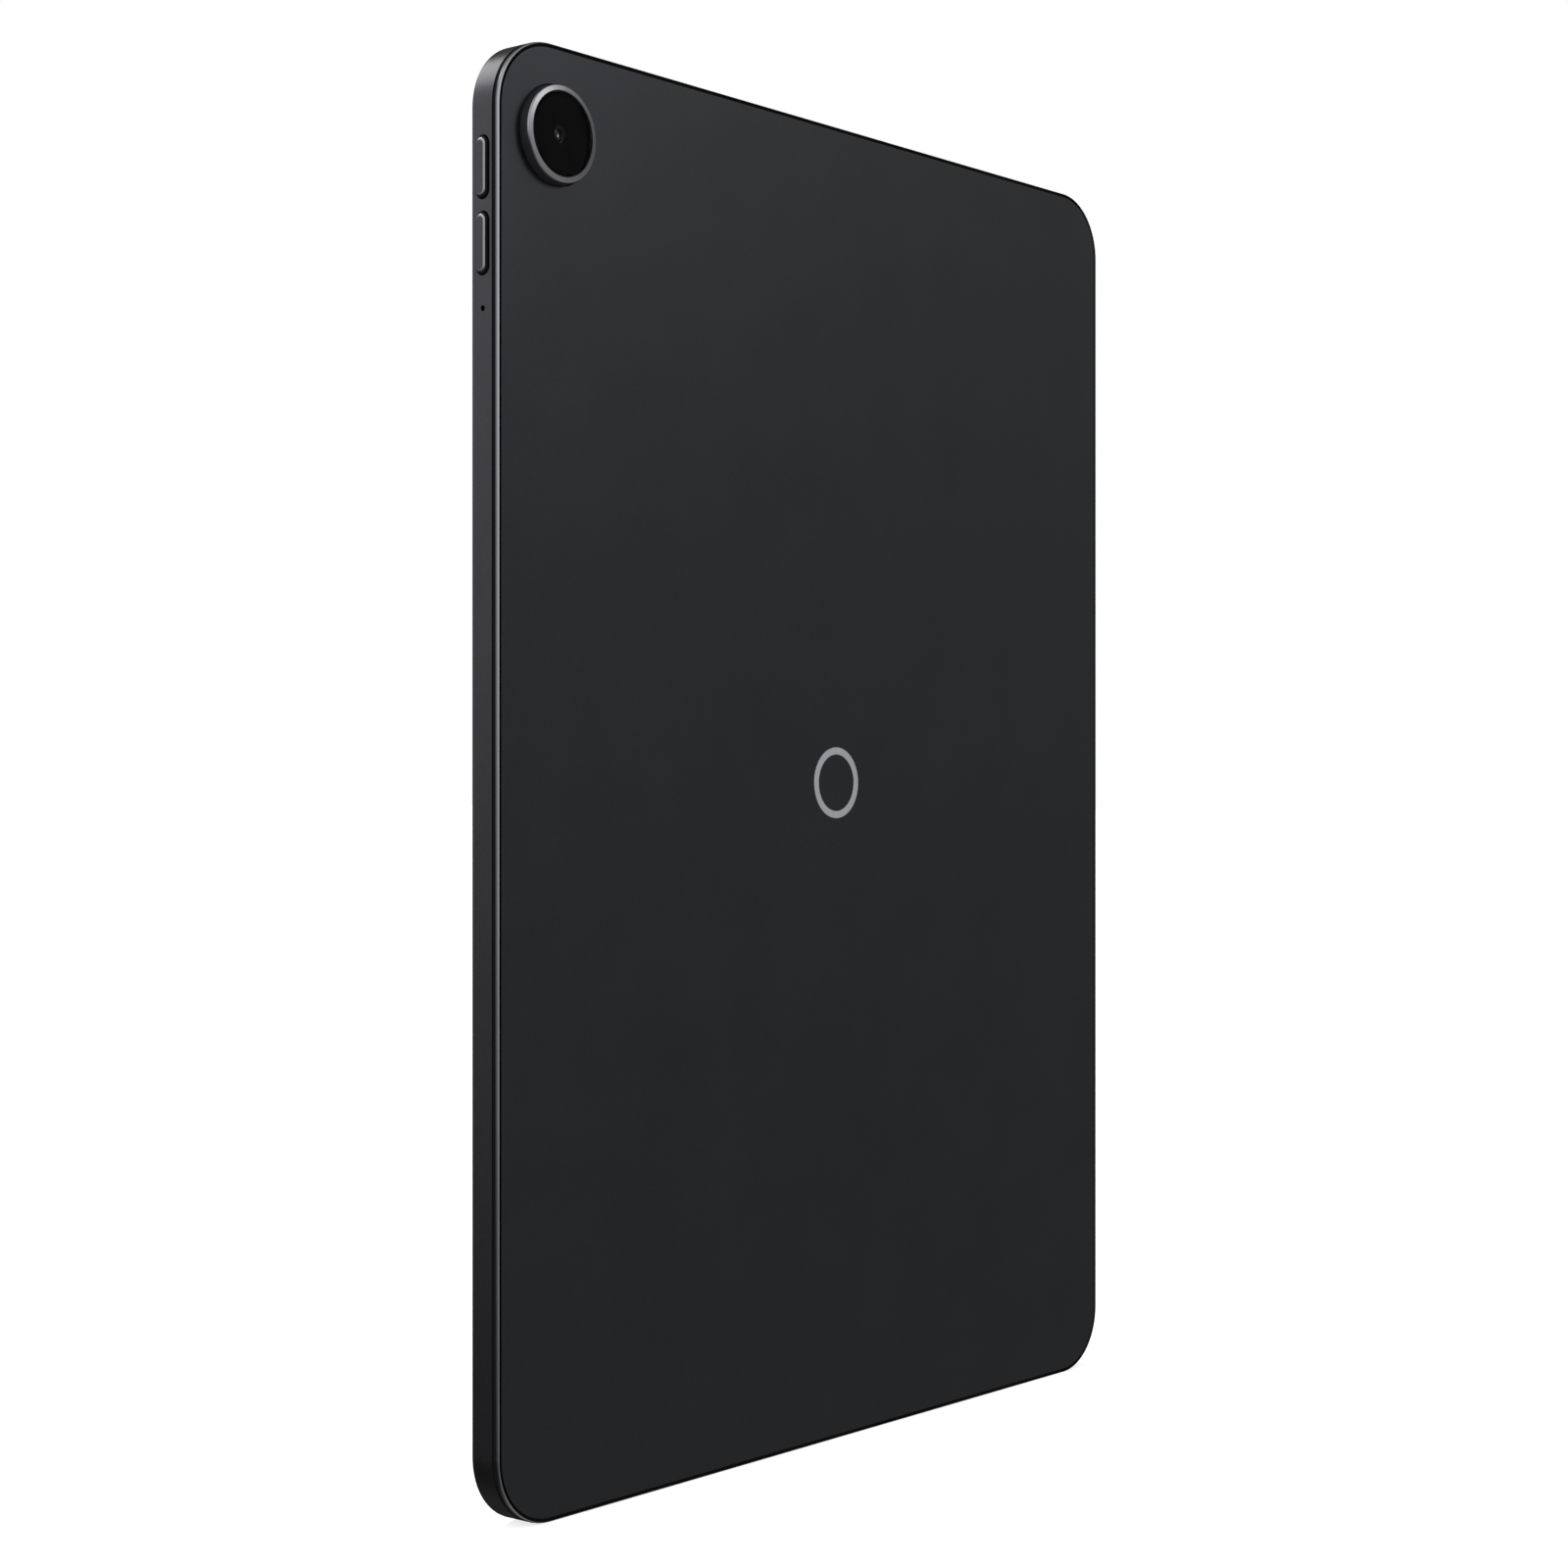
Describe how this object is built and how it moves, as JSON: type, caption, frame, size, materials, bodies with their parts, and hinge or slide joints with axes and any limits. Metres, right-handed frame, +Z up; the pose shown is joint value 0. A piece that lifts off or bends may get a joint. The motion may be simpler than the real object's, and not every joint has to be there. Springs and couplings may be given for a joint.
{
  "type": "tablet computer",
  "caption": "Slim slab tablet computer with a dark metal back, a round camera bump in one corner, pressable side keys, edge sockets and a full glass front.",
  "frame": {"origin": "centre of the flat back, at the middle of its width and height", "axes": "+Z up the long axis, +Y out of the display glass, -Y out of the flat back, +X to the right as seen from behind"},
  "size_m": [0.1934, 0.0089, 0.2666],
  "materials": {
    "charcoal_aluminium": "fine bead-blasted and anodised, satin",
    "polished_aluminium": "polished",
    "button_aluminium": "satin with a polished chamfer",
    "black_glass": "polished, black behind",
    "clear_film": "milky film and acrylic",
    "steel": "bright pressed sheet",
    "black_plastic": "moulded, matte",
    "black_foam": "black adhesive and foam",
    "battery_pouch": "foil pouch",
    "circuit_board": "solder-masked laminate",
    "chip_resin": "moulded resin",
    "flex_film": "amber polyimide film",
    "graphite": "pressed graphite sheet",
    "copper": "thin copper"
  },
  "bodies": {
    "body": {"side_frame": "charcoal_aluminium", "rear_cover": "charcoal_aluminium", "rear_cover_glue": "black_foam", "camera_ring": "charcoal_aluminium", "camera_glass": "black_glass", "camera_seal": "black_foam", "voice_coil_can": "steel", "camera_board": "circuit_board", "camera_flex": "flex_film", "camera_bracket": "steel", "emblem_ring": "polished_aluminium", "cover_glass": "black_glass", "display_glue": "black_foam", "lcd_panel": "black_glass", "diffuser_film": "clear_film", "light_guide_plate": "clear_film", "backlight_tray": "steel", "display_flex": "flex_film", "graphite_sheet": "graphite", "battery_cell_left": "battery_pouch", "battery_cell_right": "battery_pouch", "battery_board": "circuit_board", "main_board": "circuit_board", "processor_chip": "chip_resin", "memory_chip": "chip_resin", "radio_chip": "chip_resin", "processor_shield": "steel", "radio_shield": "steel", "sub_board": "circuit_board", "board_link_flex": "flex_film", "usb_shell": "steel", "usb_tongue": "black_plastic", "speaker_top_left": "black_plastic", "speaker_top_right": "black_plastic", "speaker_bottom_left": "black_plastic", "speaker_bottom_right": "black_plastic", "speaker_mesh_top_left": "steel", "speaker_mesh_top_right": "steel", "speaker_mesh_bottom_left": "steel", "speaker_mesh_bottom_right": "steel", "volume_flex": "flex_film", "power_flex": "flex_film", "volume_bracket": "steel", "power_bracket": "steel", "side_microphone": "steel", "bottom_microphone": "steel", "front_camera": "black_plastic", "upper_antenna": "copper", "lower_antenna": "copper", "card_socket": "steel", "main_board_screw_left": "steel", "main_board_screw_right": "steel", "sub_board_screw": "steel", "camera_screw_right": "steel", "camera_screw_lower": "steel"},
    "volume_up": {"volume_up_button": "button_aluminium"},
    "volume_down": {"volume_down_button": "button_aluminium"},
    "power": {"power_button": "button_aluminium"},
    "lens": {"lens_barrel": "black_plastic"},
    "card": {"card_tray": "charcoal_aluminium"}
  },
  "joints": [
    {"name": "volume_up_press", "type": "slide", "parent": "body", "child": "volume_up", "axis": [1, 0, 0], "range_m": [0, 0.00025], "stiffness_N_per_m": 4000},
    {"name": "volume_down_press", "type": "slide", "parent": "body", "child": "volume_down", "axis": [1, 0, 0], "range_m": [0, 0.00025], "stiffness_N_per_m": 4000},
    {"name": "power_press", "type": "slide", "parent": "body", "child": "power", "axis": [0, 0, -1], "range_m": [0, 0.00025], "stiffness_N_per_m": 4000},
    {"name": "lens_focus", "type": "slide", "parent": "body", "child": "lens", "axis": [0, -1, 0], "range_m": [0, 0.00025], "stiffness_N_per_m": 200},
    {"name": "card_tray_pull", "type": "slide", "parent": "body", "child": "card", "axis": [0, 0, -1], "range_m": [0, 0.0165]}
  ]
}
